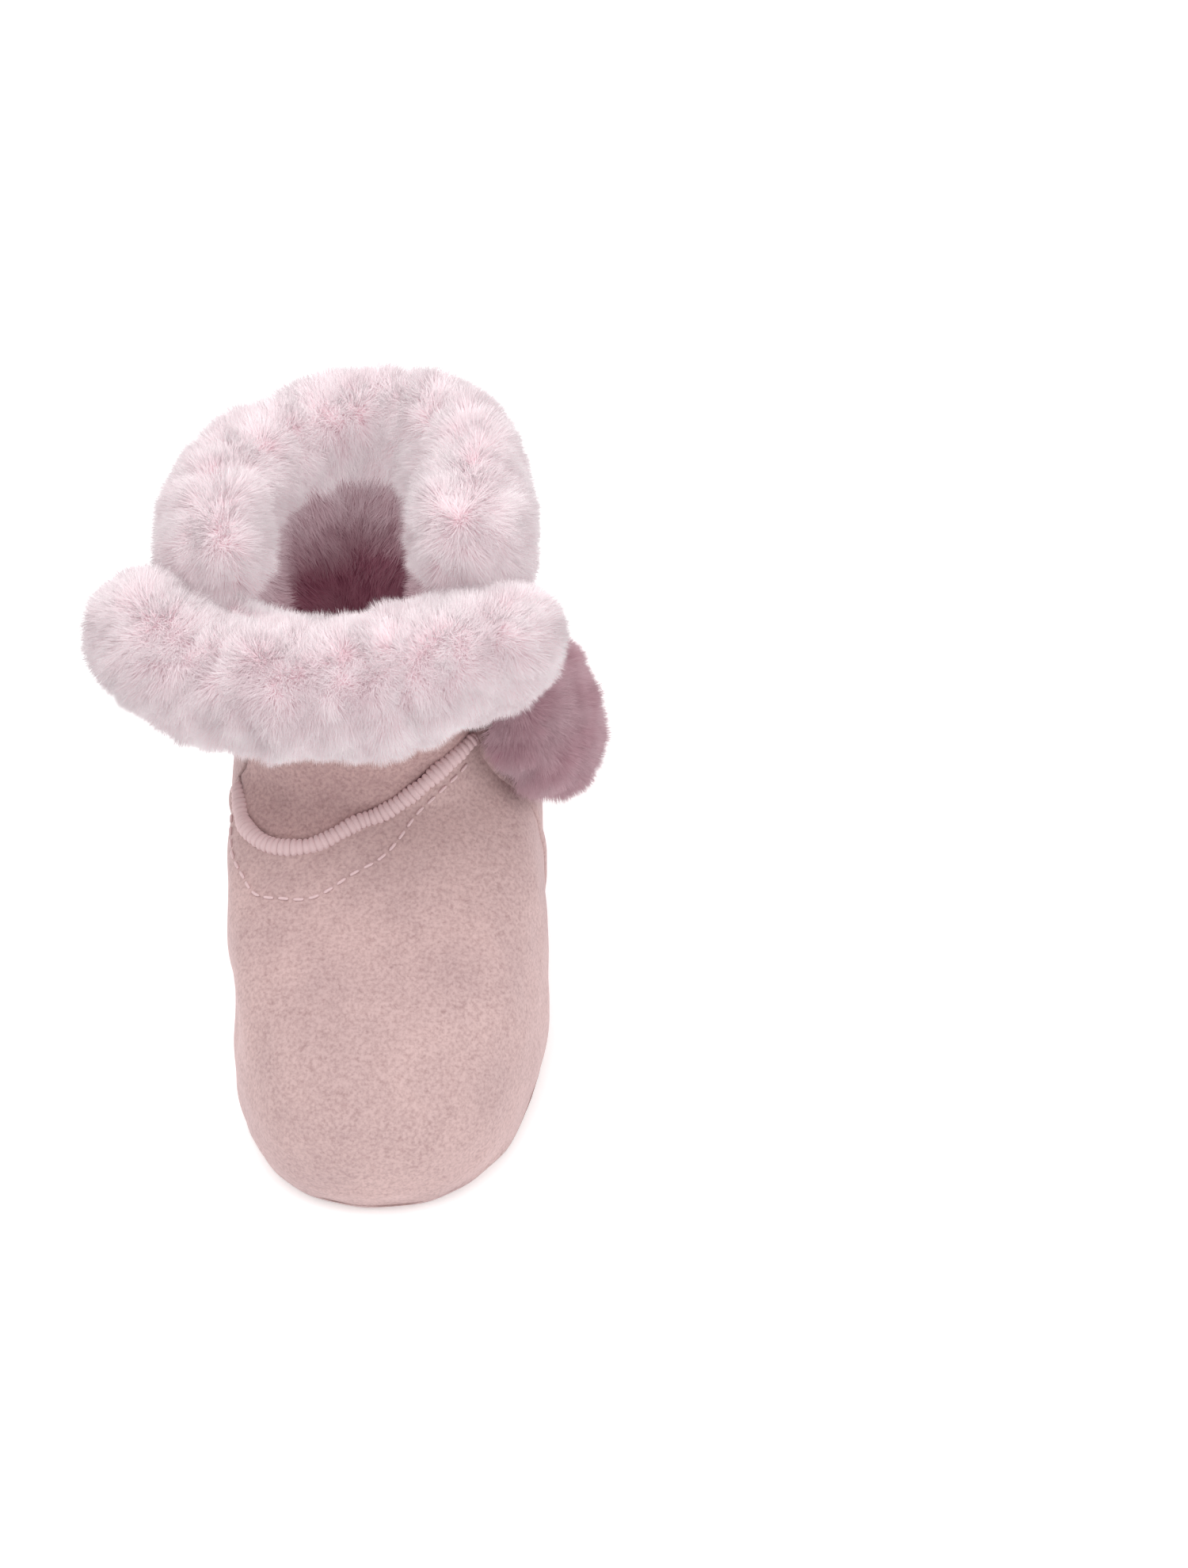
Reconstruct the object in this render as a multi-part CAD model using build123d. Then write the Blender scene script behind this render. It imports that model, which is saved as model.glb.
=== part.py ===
from build123d import *
import functools
import math
import os

# A soft sheepskin baby bootie, in millimetres. Toe towards -Y, heel towards +Y, medial side towards -X, sole
# down. The origin is the middle of the outsole's flat bottom. Every skin and fleece is a layer of one shape:
# it lies between two insets below the outer suede face, and an inset below zero lies outside that face.

# Driving dimensions of the foot and shaft, measured on the outer suede face
SOLE_LENGTH = 122.0
FOOT_WIDTH = 62.0
SHAFT_WIDTH = 52.0
SHAFT_DEPTH = 52.0
SHAFT_BACK_STEP = 7.0  # how far the heel stands out behind the shaft
SHAFT_LEAN = 6.5  # how far the shaft stands towards the medial side
INSTEP_HEIGHT = 50.0  # where the roof of the foot meets the shaft
COLLAR_RIM = 101.0  # top edge of the quarter's suede
FLAP_RIM = 91.0  # top edge of the flap's suede

# Material thicknesses
SUEDE = 1.6
FLEECE = 6.0
OUTSOLE = 2.0
PADDING = 2.5
FOOTBED = 5.8
THREAD = 0.6

# Clearances
LAYER_GAP = 0.3  # between layers of one body
BODY_GAP = 0.4  # between pieces that move past each other

# Cuffs: how far each hangs below its rim, and how thick its fleece is
COLLAR_CUFF_DROP = 16.0
COLLAR_CUFF_FLEECE = 6.2
COLLAR_CROWN = 9.5
FLAP_CUFF_DROP = 15.0
FLAP_CUFF_FLEECE = 11.5
FLAP_CROWN = 10.0
CROWN_SHARE = 0.94  # of a crown's ellipse, where its top is cut flat

# Seams and stitches
SIDE_SEAM_SETBACK = 10.0  # how far the side seams stand behind the shaft's front
SEAM_WIDTH = 3.0
SEAM_RISE = 0.8
ALLOWANCE_WIDTH = 3.2
OVERLOCK_WIDTH = 2.6
OVERLOCK_RISE = 1.4
TOPSTITCH_DROP = 1.5  # below the overlocked edge
SEAM_FRONT_SHARE = 0.93  # of the half width, how far round the front the top stitches go
STITCH_LENGTH = 2.3
STITCH_PITCH = 3.3

# Fastening tab on the lateral side
TAB_LENGTH = 18.0
TAB_HEIGHT = 26.0
TAB_TOP = 73.0
TAB_TAPER = 7.0  # drop of the top edge from the hinge to the free end
TAB_FLEECE = 6.5
TAB_BASE_LENGTH = 8.0
TAB_BASE_HEIGHT = 9.0
PATCH = 0.85
PATCH_INSET = 3.5  # from the tab's edges to the patch
TAB_EDGE_SHARE = 0.15  # keeps the pad's edge this full, as a square of its share

# Throat edge of the vamp, seen from the front as (x, z): low at the medial side, climbing to the lateral one
THROAT = [(-36, 57), (-27, 45), (-15, 46.2), (-1, 50.5), (11, 57), (21, 61), (36, 66)]

# Shape of the shell against height. The first number is a share of INSTEP_HEIGHT, the second a share of the
# way from the foot's value to the shaft's.
FRONT_KEYS = [(0, 0.05), (0.16, 0.006), (0.3, 0), (0.46, 0.05), (0.62, 0.2), (0.76, 0.46), (0.88, 0.75)]
FRONT_KEYS += [(1.0, 0.95), (1.25, 1.0)]
BACK_KEYS = [(0, 0.4), (0.22, 0), (0.6, 0.08), (1.0, 0.6), (1.5, 1.0)]
WIDTH_KEYS = [(0, 0.25), (0.2, 0.03), (0.45, 0), (0.76, 0.2), (1.0, 0.7), (1.25, 0.95), (1.5, 1.0)]
LEAN_KEYS = [(0.4, 0), (1.0, 0.45), (1.5, 0.9), (1.9, 1.0)]
MIDDLE_KEYS = [(0.2, 0), (0.7, 0.45), (1.0, 0.95), (1.2, 1.0)]
BALL_Y_SHARE = -0.12  # the widest place of the foot, as a share of the sole's length
# How full each quarter of an outline is, by (x side, y side): 0.55 is an ellipse, and more is squarer
FULLNESS = {(-1, -1): 0.68, (1, -1): 0.59, (-1, 1): 0.58, (1, 1): 0.68}

LEVELS = [0, 0.2, 0.4, 0.55, 0.7, 0.82, 0.94, 1.08, 1.4, 1.8, 2.3]  # shares of INSTEP_HEIGHT
LEVEL_STEP = 5.0
END_RUN = 20.0  # how far every layer runs on past the sole and past the top, before it is cut to length
BALL_SAMPLES = 16
FAR = 200.0

TOE_Y = -SOLE_LENGTH / 2
HEEL_Y = SOLE_LENGTH / 2
SHAFT_BACK_Y = HEEL_Y - SHAFT_BACK_STEP
SHAFT_FRONT_Y = SHAFT_BACK_Y - SHAFT_DEPTH
SIDE_SEAM_Y = SHAFT_FRONT_Y + SIDE_SEAM_SETBACK
LINING_FACE = SUEDE + LAYER_GAP + FLEECE
CUFF_SKIN_IN = -2 * LAYER_GAP
CUFF_SKIN_OUT = CUFF_SKIN_IN - SUEDE
CUFF_FLEECE_IN = CUFF_SKIN_OUT - LAYER_GAP
UPPER_BOTTOM = OUTSOLE + LAYER_GAP
LINING_BOTTOM = UPPER_BOTTOM + PADDING + LAYER_GAP
SEAM_IN = -LAYER_GAP / 2


def smooth(keys, at):
    """A curve through (place, value) keys that never overshoots them and is level past both ends."""
    if at <= keys[0][0]:
        return keys[0][1]
    if at >= keys[-1][0]:
        return keys[-1][1]
    steps = [(b[1] - a[1]) / (b[0] - a[0]) for a, b in zip(keys, keys[1:])]
    inner = [0.0 if p * q <= 0 else 2 * p * q / (p + q) for p, q in zip(steps, steps[1:])]
    slopes = [0.0, *inner, 0.0]
    i = max(k for k in range(len(steps)) if keys[k][0] <= at)
    (start, low), (end, high) = keys[i], keys[i + 1]
    t = (at - start) / (end - start)
    bend = t * (1 - t) * ((1 - t) * slopes[i] - t * slopes[i + 1])
    return low + (high - low) * t * t * (3 - 2 * t) + (end - start) * bend


def outer_value(name, z):
    """The outer face at one height: its front, back, half width, lean or widest place."""
    share = z / INSTEP_HEIGHT
    if name == "front":
        return TOE_Y + (SHAFT_FRONT_Y - TOE_Y) * smooth(FRONT_KEYS, share)
    if name == "back":
        return HEEL_Y - SHAFT_BACK_STEP * smooth(BACK_KEYS, share)
    if name == "width":
        return (FOOT_WIDTH - (FOOT_WIDTH - SHAFT_WIDTH) * smooth(WIDTH_KEYS, share)) / 2
    if name == "lean":
        return -SHAFT_LEAN * smooth(LEAN_KEYS, share)
    ball = BALL_Y_SHARE * SOLE_LENGTH
    return ball + (SHAFT_BACK_Y - SHAFT_DEPTH / 2 - ball) * smooth(MIDDLE_KEYS, share)


def layer_value(name, z, inset):
    """The same for a layer: the edge of a ball of that radius rolled along the outer face."""
    if name in ("lean", "middle"):
        return outer_value(name, z)
    inwards = 1 if name == "front" else -1
    side = 1 if inset > 0 else -1
    found = []
    for k in range(-BALL_SAMPLES, BALL_SAMPLES + 1):
        rise = inset * k / BALL_SAMPLES
        reach = math.sqrt(inset**2 - rise**2)
        found.append(inwards * outer_value(name, z + rise) + side * reach)
    return inwards * (max(found) if side > 0 else min(found))


def section_sizes(z, inset):
    """Centre x, widest y, half width, and the lengths in front of and behind the widest place."""
    middle = layer_value("middle", z, inset)
    front = middle - layer_value("front", z, inset)
    back = layer_value("back", z, inset) - middle
    return layer_value("lean", z, inset), middle, layer_value("width", z, inset), front, back


def section(z, inset):
    """The closed outline of a layer at one height: four quarter arcs, each a cubic between its ends."""
    centre, middle, width, front, back = section_sizes(z, inset)
    corners = [(1, 1), (-1, 1), (-1, -1), (1, -1)]
    arcs = []
    for k, corner in enumerate(corners):
        full = FULLNESS[corner]
        across, along = corner[0] * width, (back if corner[1] > 0 else -front)
        points = [(across, 0), (across, along * full), (across * full, along), (0, along)]
        points = points if k % 2 == 0 else points[::-1]
        arcs.append(Edge.make_bezier(*[Vector(centre + x, middle + y, z) for x, y in points]))
    return Wire(arcs)


@functools.cache
def layer(inset):
    """The whole solid inside a layer. All layers are lofted at the same heights, so that none cross."""
    heights = [INSTEP_HEIGHT * share for share in LEVELS]
    heights = [-END_RUN - inset, *heights, heights[-1] + END_RUN + inset]
    return Solid.make_loft([section(z, inset) for z in heights])


def slab(low, high):
    """Everything between two heights."""
    return block(-FAR, FAR, -FAR, FAR, low, high)


def shell(outer, inner, low, high):
    """The wall between two layers, between two heights."""
    return (layer(outer) & slab(low, high)) - layer(inner)


def bulge(inset, low, high):
    """The solid inside a layer whose inset is a function of height, such as a rounded cuff."""
    count = max(2, round((high - low) / LEVEL_STEP))
    heights = [low + (high - low) * k / count for k in range(count + 1)]
    return Solid.make_loft([section(z, inset(z)) for z in heights])


def block(x0, x1, y0, y1, z0, z1):
    """A box between two corners."""
    size = Box(x1 - x0, y1 - y0, z1 - z0)
    return Pos((x0 + x1) / 2, (y0 + y1) / 2, (z0 + z1) / 2) * size


def above_throat(drop):
    """Everything above the throat edge, with the edge moved down by drop."""
    points = [(x, z - drop) for x, z in THROAT]
    edge = Spline(*points)
    corners = [points[-1], (FAR, points[-1][1]), (FAR, FAR), (-FAR, FAR), (-FAR, points[0][1]), points[0]]
    return extrude(Plane.XZ * make_face([edge, Polyline(*corners)]), FAR, both=True)


def in_front(y):
    return block(-FAR, FAR, -FAR, y, -FAR, FAR)


def behind(y):
    return block(-FAR, FAR, y, FAR, -FAR, FAR)


def quarter_share(full, share):
    """How far along its other axis a quarter arc is, where it is at a share of the way along one axis."""
    low, high = 0.0, 1.0
    for _ in range(30):
        t = (low + high) / 2
        reached = 3 * t * t * (1 - t) + t**3 + 3 * t * (1 - t) ** 2 * full
        low, high = (t, high) if reached < share else (low, t)
    return (1 - t) ** 3 + 3 * t * (1 - t) ** 2 + 3 * t * t * (1 - t) * full


def front_point(x, z, inset):
    """The point of a layer's front face at one x and height."""
    centre, middle, width, front, back = section_sizes(z, inset)
    full = FULLNESS[(1 if x >= centre else -1, -1)]
    return Vector(x, middle - front * quarter_share(full, min(abs(x - centre) / width, 1)), z)


def side_point(y, z, inset):
    """The point of a layer's lateral face at one y and height."""
    centre, middle, width, front, back = section_sizes(z, inset)
    ahead = y < middle
    full = FULLNESS[(1, -1 if ahead else 1)]
    share = min(abs(y - middle) / (front if ahead else back), 1)
    return Vector(centre + width * quarter_share(full, share), y, z)


def stitch_row(path, length):
    """Straight thread stitches, one a pitch, along a path given as a function of the distance run."""
    count = int(length // STITCH_PITCH)
    stitches = []
    for k in range(count):
        start = path(k * STITCH_PITCH)
        end = path(k * STITCH_PITCH + STITCH_LENGTH)
        along = end - start
        stitches.append(Solid.make_cylinder(THREAD / 2, along.length, Plane(origin=start, z_dir=along)))
    return stitches


def measured_path(points):
    """A path by distance through points that lie close together, and its length."""
    runs = [(b - a).length for a, b in zip(points, points[1:])]

    def at(distance):
        for k, run in enumerate(runs):
            if distance <= run or k == len(runs) - 1:
                return points[k] + (points[k + 1] - points[k]) * (distance / run)
            distance -= run

    return at, sum(runs)


def tab_top(y):
    """The tab's sloping top edge."""
    return TAB_TOP - TAB_TAPER * (y - SIDE_SEAM_Y) / TAB_LENGTH


def tab_outline(margin):
    """The tab seen from the lateral side, drawn in from its edges by a margin, with a round free end."""
    near = SIDE_SEAM_Y + 3 * BODY_GAP + margin
    far = SIDE_SEAM_Y + TAB_LENGTH - margin
    bottom = TAB_TOP - TAB_HEIGHT + margin
    corners = [(near, bottom), (far, bottom), (far, tab_top(far) - margin), (near, tab_top(near) - margin)]
    face = make_face(Polyline(*corners, close=True))
    free_end = face.vertices().sort_by(Axis.X)[-2:]
    face = fillet(free_end, TAB_HEIGHT / 4)
    return extrude(Plane.YZ * face, FAR)


def make_sole():
    allowance_in = SUEDE + LAYER_GAP
    pad_in = allowance_in + ALLOWANCE_WIDTH + LAYER_GAP
    top = UPPER_BOTTOM + PADDING
    parts = {"outsole": Solid.make_loft([section(0, SUEDE), section(OUTSOLE, 0)])}
    turned_up = UPPER_BOTTOM + SUEDE
    parts["sole_seam_allowance"] = shell(allowance_in, pad_in - LAYER_GAP, UPPER_BOTTOM, turned_up)
    parts["insole_padding"] = layer(pad_in) & slab(UPPER_BOTTOM, top)
    parts["footbed_fleece"] = layer(LINING_FACE + LAYER_GAP) & slab(LINING_BOTTOM, LINING_BOTTOM + FOOTBED)
    return parts


def make_upper():
    skin = shell(0, SUEDE, UPPER_BOTTOM, COLLAR_RIM)
    fleece = shell(SUEDE + LAYER_GAP, LINING_FACE, LINING_BOTTOM, COLLAR_RIM)
    seam_gap = LAYER_GAP / 2
    foot = in_front(SIDE_SEAM_Y - seam_gap)
    flap = in_front(SIDE_SEAM_Y - BODY_GAP) & above_throat(-BODY_GAP)
    flap &= slab(0, FLAP_RIM)
    heel = behind(SIDE_SEAM_Y + seam_gap)
    ridge = shell(-OVERLOCK_RISE, SUEDE, UPPER_BOTTOM, COLLAR_RIM)
    ridge_zone = above_throat(OVERLOCK_WIDTH) - above_throat(0)
    parts = {"vamp": skin & foot - above_throat(OVERLOCK_WIDTH + LAYER_GAP)}
    parts["vamp_lining"] = fleece & foot - above_throat(0)
    parts["throat_overlock"] = ridge & ridge_zone & in_front(SIDE_SEAM_Y - BODY_GAP)
    parts["heel_quarter"] = skin & heel
    parts["quarter_lining"] = fleece & heel
    parts["flap_panel"] = skin & flap
    parts["flap_lining"] = fleece & flap
    return parts


def make_seams():
    band = shell(SEAM_IN - SEAM_RISE, SEAM_IN, UPPER_BOTTOM, COLLAR_RIM - COLLAR_CUFF_DROP - BODY_GAP)
    side = block(-FAR, FAR, SIDE_SEAM_Y - SEAM_WIDTH / 2, SIDE_SEAM_Y + SEAM_WIDTH / 2, 0, FAR)
    side -= above_throat(OVERLOCK_WIDTH + BODY_GAP)
    back = block(-SEAM_WIDTH / 2, SEAM_WIDTH / 2, SIDE_SEAM_Y + SEAM_WIDTH, FAR, 0, FAR)
    parts = {"medial_side_seam": band & side & block(-FAR, 0, -FAR, FAR, 0, FAR)}
    parts["lateral_side_seam"] = band & side & block(0, FAR, -FAR, FAR, 0, FAR)
    parts["back_seam"] = band & back
    drop = OVERLOCK_WIDTH + TOPSTITCH_DROP
    rail = Spline(*THROAT)
    points = []
    for k in range(121):
        place = rail @ (k / 120)
        z = place.Y - drop
        centre, middle, width, front, back = section_sizes(z, 0)
        if abs(place.X - centre) > SEAM_FRONT_SHARE * width:
            continue
        point = front_point(place.X, z, -THREAD - LAYER_GAP)
        if point.Y < SIDE_SEAM_Y - SEAM_WIDTH:
            points.append(point)
    stitches = stitch_row(*measured_path(points))
    parts["throat_topstitch"] = [stitch - layer(-LAYER_GAP / 2) for stitch in stitches]
    return parts


def round_top(base, reach, crown, low):
    """An inset that moves from its base by reach along a quarter ellipse over the crown's height."""
    return lambda z: base + reach * math.sqrt(max(0.0, 1 - max(0.0, (z - low) / crown) ** 2))


def make_collar_cuff():
    low = COLLAR_RIM - COLLAR_CUFF_DROP
    heel = behind(SIDE_SEAM_Y + LAYER_GAP / 2)
    outside = CUFF_FLEECE_IN - COLLAR_CUFF_FLEECE
    middle = (LINING_FACE + outside) / 2
    reach = (LINING_FACE - outside) / 2
    rim = COLLAR_RIM + LAYER_GAP
    top = rim + COLLAR_CROWN * CROWN_SHARE
    skin = shell(CUFF_SKIN_OUT, CUFF_SKIN_IN, low, COLLAR_RIM)
    crown_out = bulge(round_top(middle, -reach, COLLAR_CROWN, rim), rim, top)
    crown_in = bulge(round_top(middle, reach, COLLAR_CROWN, rim), rim, top)
    hem = lambda z: CUFF_FLEECE_IN - COLLAR_CUFF_FLEECE * math.sqrt(min(1.0, 0.25 + (z - low) / 6))
    hang = bulge(hem, low, rim) - layer(CUFF_FLEECE_IN)
    fleece = (hang + (crown_out - crown_in)) & heel
    return {"collar_cuff_skin": skin & heel, "collar_cuff_fleece": fleece}


def make_flap_cuff():
    low = FLAP_RIM - FLAP_CUFF_DROP
    flap = in_front(SIDE_SEAM_Y - BODY_GAP)
    rim = FLAP_RIM + LAYER_GAP
    top = rim + FLAP_CROWN * CROWN_SHARE
    outside = CUFF_FLEECE_IN - FLAP_CUFF_FLEECE
    middle = (LINING_FACE + outside) / 2
    reach = (LINING_FACE - outside) / 2
    skin = shell(CUFF_SKIN_OUT, CUFF_SKIN_IN, low + 2, FLAP_RIM)
    crown_out = bulge(round_top(middle, -reach, FLAP_CROWN, rim), rim, top)
    crown_in = bulge(round_top(middle, reach, FLAP_CROWN, rim), rim, top)
    hem = lambda z: CUFF_FLEECE_IN - FLAP_CUFF_FLEECE * math.sqrt(min(1.0, 0.2 + (z - low) / 9))
    hang = bulge(hem, low, rim) - layer(CUFF_FLEECE_IN)
    fleece = (hang + (crown_out - crown_in)) & flap
    return {"flap_cuff_skin": skin & flap, "flap_cuff_fleece": fleece}


def make_fastening():
    low, high = TAB_TOP - TAB_HEIGHT - 4, TAB_TOP + 4
    loop_in = SEAM_IN
    loop_out = loop_in - PATCH
    hook_in = loop_out - BODY_GAP
    hook_out = hook_in - PATCH
    skin_in = hook_out - LAYER_GAP
    skin_out = skin_in - SUEDE
    fleece_in = skin_out - LAYER_GAP
    lateral = block(0, FAR, -FAR, FAR, 0, FAR)
    patch = tab_outline(PATCH_INSET)
    tab = tab_outline(0)

    def puff(z):
        from_middle = 2 * (z - low) / (high - low) - 1
        return fleece_in - TAB_FLEECE * math.sqrt(max(TAB_EDGE_SHARE, 1 - from_middle**4))

    parts = {"loop_patch": shell(loop_out, loop_in, low, high) & patch}
    parts["hook_patch"] = shell(hook_out, hook_in, low, high) & patch
    parts["tab_skin"] = shell(skin_out, skin_in, low, high) & tab
    parts["tab_fleece"] = (bulge(puff, low, high) - layer(fleece_in)) & tab
    base_end = SIDE_SEAM_Y - BODY_GAP
    base = block(0, FAR, base_end - TAB_BASE_LENGTH, base_end, TAB_TOP - TAB_BASE_HEIGHT, TAB_TOP)
    parts["tab_base"] = shell(SEAM_IN - SUEDE, SEAM_IN, low, high) & base & lateral
    middle = TAB_TOP - TAB_BASE_HEIGHT / 2
    row = []
    for k in range(21):
        y = base_end - TAB_BASE_LENGTH / 2
        z = middle + (k / 20 - 0.5) * (TAB_BASE_HEIGHT - 2)
        row.append(side_point(y, z, SEAM_IN - SUEDE - THREAD / 2 - LAYER_GAP))
    parts["tab_base_stitches"] = stitch_row(*measured_path(row))
    return parts


def main():
    os.makedirs("parts", exist_ok=True)
    parts = {}
    for make in (make_sole, make_upper, make_seams, make_collar_cuff, make_flap_cuff, make_fastening):
        parts.update(make())
    for name, made in parts.items():
        solids = made if isinstance(made, list) else made.solids()
        export_step(Compound(children=list(solids)) if len(solids) > 1 else solids[0], f"parts/{name}.step")


main()
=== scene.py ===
import math

import bpy
import numpy as np
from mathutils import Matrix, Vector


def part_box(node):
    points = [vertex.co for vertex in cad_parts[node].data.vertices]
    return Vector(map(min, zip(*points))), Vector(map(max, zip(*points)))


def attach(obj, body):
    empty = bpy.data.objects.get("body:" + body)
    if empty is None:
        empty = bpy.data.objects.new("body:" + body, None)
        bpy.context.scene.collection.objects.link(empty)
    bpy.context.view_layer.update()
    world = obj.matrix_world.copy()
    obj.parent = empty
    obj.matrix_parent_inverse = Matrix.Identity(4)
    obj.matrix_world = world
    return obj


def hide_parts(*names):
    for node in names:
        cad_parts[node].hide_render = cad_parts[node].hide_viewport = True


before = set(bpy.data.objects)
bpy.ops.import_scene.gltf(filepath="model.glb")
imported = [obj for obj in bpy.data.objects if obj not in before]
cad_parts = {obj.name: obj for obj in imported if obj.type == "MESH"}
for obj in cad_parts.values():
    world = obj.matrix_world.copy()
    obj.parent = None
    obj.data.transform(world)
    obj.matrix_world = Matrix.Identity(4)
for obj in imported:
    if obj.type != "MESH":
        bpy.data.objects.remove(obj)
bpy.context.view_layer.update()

# ------------------------------------------------------------------------------------------------------------
# Studio. The bootie stands on a white sheet under broad soft light, seen from in front and well above, with
# room at its lateral side where the other bootie of the pair would stand.
LOOK_AT = np.array([0.040, 0.0083, 0.0485])
CAMERA_DISTANCE = 0.60
CAMERA_RAISED = math.radians(45)

camera = bpy.data.objects.new("camera", bpy.data.cameras.new("camera"))
bpy.context.collection.objects.link(camera)
camera.location = LOOK_AT + CAMERA_DISTANCE * np.array([0, -math.cos(CAMERA_RAISED), math.sin(CAMERA_RAISED)])
camera.rotation_euler = (math.pi / 2 - CAMERA_RAISED, 0, 0)
camera.data.lens = 71.1
camera.data.sensor_width = 36
bpy.context.scene.camera = camera

floor_mesh = bpy.data.meshes.new("paper_floor")
floor_mesh.from_pydata([(-9, -9, 0), (9, -9, 0), (9, 9, 0), (-9, 9, 0)], [], [(0, 1, 2, 3)])
floor = bpy.data.objects.new("paper_floor", floor_mesh)
bpy.context.collection.objects.link(floor)
paper = bpy.data.materials.new("white_paper")
paper.use_nodes = True
paper.node_tree.nodes["Principled BSDF"].inputs["Base Color"].default_value = (0.93, 0.925, 0.925, 1)
paper.node_tree.nodes["Principled BSDF"].inputs["Roughness"].default_value = 0.9
paper.node_tree.nodes["Principled BSDF"].inputs["Emission Color"].default_value = (1, 1, 1, 1)
paper.node_tree.nodes["Principled BSDF"].inputs["Emission Strength"].default_value = 0.25
floor_mesh.materials.append(paper)


def soft_light(name, place, size, power):
    """A square area light that faces the middle of the bootie."""
    light = bpy.data.objects.new(name, bpy.data.lights.new(name, "AREA"))
    bpy.context.collection.objects.link(light)
    light.data.size = size
    light.data.energy = power
    light.location = place
    away = np.array(place) - np.array([0, 0, 0.05])
    light.rotation_euler = (math.atan2(math.hypot(away[0], away[1]), away[2]), 0, math.atan2(away[0], -away[1]))


soft_light("key_light", (-0.35, -0.25, 1.4), 0.9, 9.5)
soft_light("fill_light", (0.9, -0.5, 1.0), 1.0, 5.2)
soft_light("back_light", (0.1, 1.1, 0.9), 0.8, 4.5)
world = bpy.data.worlds.new("white_room")
world.use_nodes = True
world.node_tree.nodes["Background"].inputs["Color"].default_value = (1, 0.99, 0.99, 1)
world.node_tree.nodes["Background"].inputs["Strength"].default_value = 0.66
bpy.context.scene.world = world
bpy.context.scene.view_settings.view_transform = "Standard"

# ------------------------------------------------------------------------------------------------------------
# Suede of the foot. The vamp is one piece of suede from the sole round the toe to the throat, sewn to the heel
# quarter at both sides. It is soft, so its face is a little lumpy and it dents where the instep begins.
MM = 0.001
SOLE = [np.array(corner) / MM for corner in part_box("outsole")]
QUARTER = [np.array(corner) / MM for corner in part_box("heel_quarter")]
LENGTH = 122.0
INSTEP = 50.0
FOOT_WIDTH = 62.0
SHAFT_WIDTH = 52.0
SHAFT_DEPTH = 52.0
HEEL_STEP = 7.0
BALL_SHARE = 0.12
SHAFT_LEAN = 6.5
SEAM_Y = 12.0
SUEDE = 1.6
TOE_Y, HEEL_Y = -LENGTH / 2, LENGTH / 2
SHAFT_BACK = HEEL_Y - HEEL_STEP
SHAFT_FRONT = SHAFT_BACK - SHAFT_DEPTH
UPPER_START = SOLE[1][2] * 0.6
THROAT = [(-36, 57), (-27, 45), (-15, 46.2), (-1, 50.5), (11, 57), (21, 61), (36, 66)]
SHAPE = {
    "front": [(0, 0.05), (0.16, 0.006), (0.3, 0), (0.46, 0.05), (0.62, 0.2), (0.76, 0.46), (0.88, 0.75),
              (1.0, 0.95), (1.25, 1.0)],
    "back": [(0, 0.4), (0.22, 0), (0.6, 0.08), (1.0, 0.6), (1.5, 1.0)],
    "width": [(0, 0.25), (0.2, 0.03), (0.45, 0), (0.76, 0.2), (1.0, 0.7), (1.25, 0.95), (1.5, 1.0)],
    "lean": [(0.4, 0), (1.0, 0.45), (1.5, 0.9), (1.9, 1.0)],
    "middle": [(0.2, 0), (0.7, 0.45), (1.0, 0.95), (1.2, 1.0)],
}
# How full the four quarters of an outline are: lateral back, medial back, medial front, lateral front.
FULLNESS = np.array([0.68, 0.58, 0.68, 0.59])


def smooth(keys, at):
    """A cubic through (place, value) keys whose slopes are harmonic means, so it never overshoots them."""
    place, value = np.array(keys, float).T
    step = np.diff(value) / np.diff(place)
    slope = np.zeros(len(place))
    both = step[:-1] * step[1:] > 0
    slope[1:-1][both] = 2 * (step[:-1] * step[1:])[both] / (step[:-1] + step[1:])[both]
    at = np.clip(at, place[0], place[-1])
    i = np.clip(np.searchsorted(place, at, "right") - 1, 0, len(place) - 2)
    width = place[i + 1] - place[i]
    t = (at - place[i]) / width
    bend = t * (1 - t) * ((1 - t) * slope[i] - t * slope[i + 1]) * width
    return value[i] + (value[i + 1] - value[i]) * t * t * (3 - 2 * t) + bend


def sizes(z):
    """Centre x, widest y, half width, and lengths ahead of and behind the widest place, at heights in mm."""
    share = z / INSTEP
    ball = -BALL_SHARE * LENGTH
    middle = ball + (SHAFT_BACK - SHAFT_DEPTH / 2 + BALL_SHARE * LENGTH) * smooth(SHAPE["middle"], share)
    front = TOE_Y + (SHAFT_FRONT - TOE_Y) * smooth(SHAPE["front"], share)
    back = HEEL_Y - HEEL_STEP * smooth(SHAPE["back"], share)
    width = (FOOT_WIDTH - (FOOT_WIDTH - SHAFT_WIDTH) * smooth(SHAPE["width"], share)) / 2
    return -SHAFT_LEAN * smooth(SHAPE["lean"], share), middle, width, middle - front, back - middle


def quarter_arc(full, t):
    """A cubic quarter turn from (1, 0) to (0, 1) whose handles are full long: how far across and along at t."""
    across = (1 - t) ** 3 + 3 * t * (1 - t) ** 2 + 3 * t * t * (1 - t) * full
    along = 3 * t * (1 - t) ** 2 * full + 3 * t * t * (1 - t) + t**3
    return across, along


def ring(turn, z, inset=0.0):
    """Points of a level outline. turn is 0 at the lateral side, 1 at the heel, 2 medial and 3 at the toe."""
    turn, z, inset = np.broadcast_arrays(np.asarray(turn, float), z, inset)
    centre, middle, width, front, back = sizes(z)
    k = np.floor(turn).astype(int) % 4
    t = turn - np.floor(turn)
    t = np.where(k % 2 == 0, t, 1 - t)
    across, along = quarter_arc(FULLNESS[k], t)
    side = np.where((k == 0) | (k == 3), 1, -1)
    x = centre + side * across * (width - inset)
    y = middle + np.where(k < 2, back - inset, inset - front) * along
    return np.stack([x, y, z + 0 * x], -1)


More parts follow.
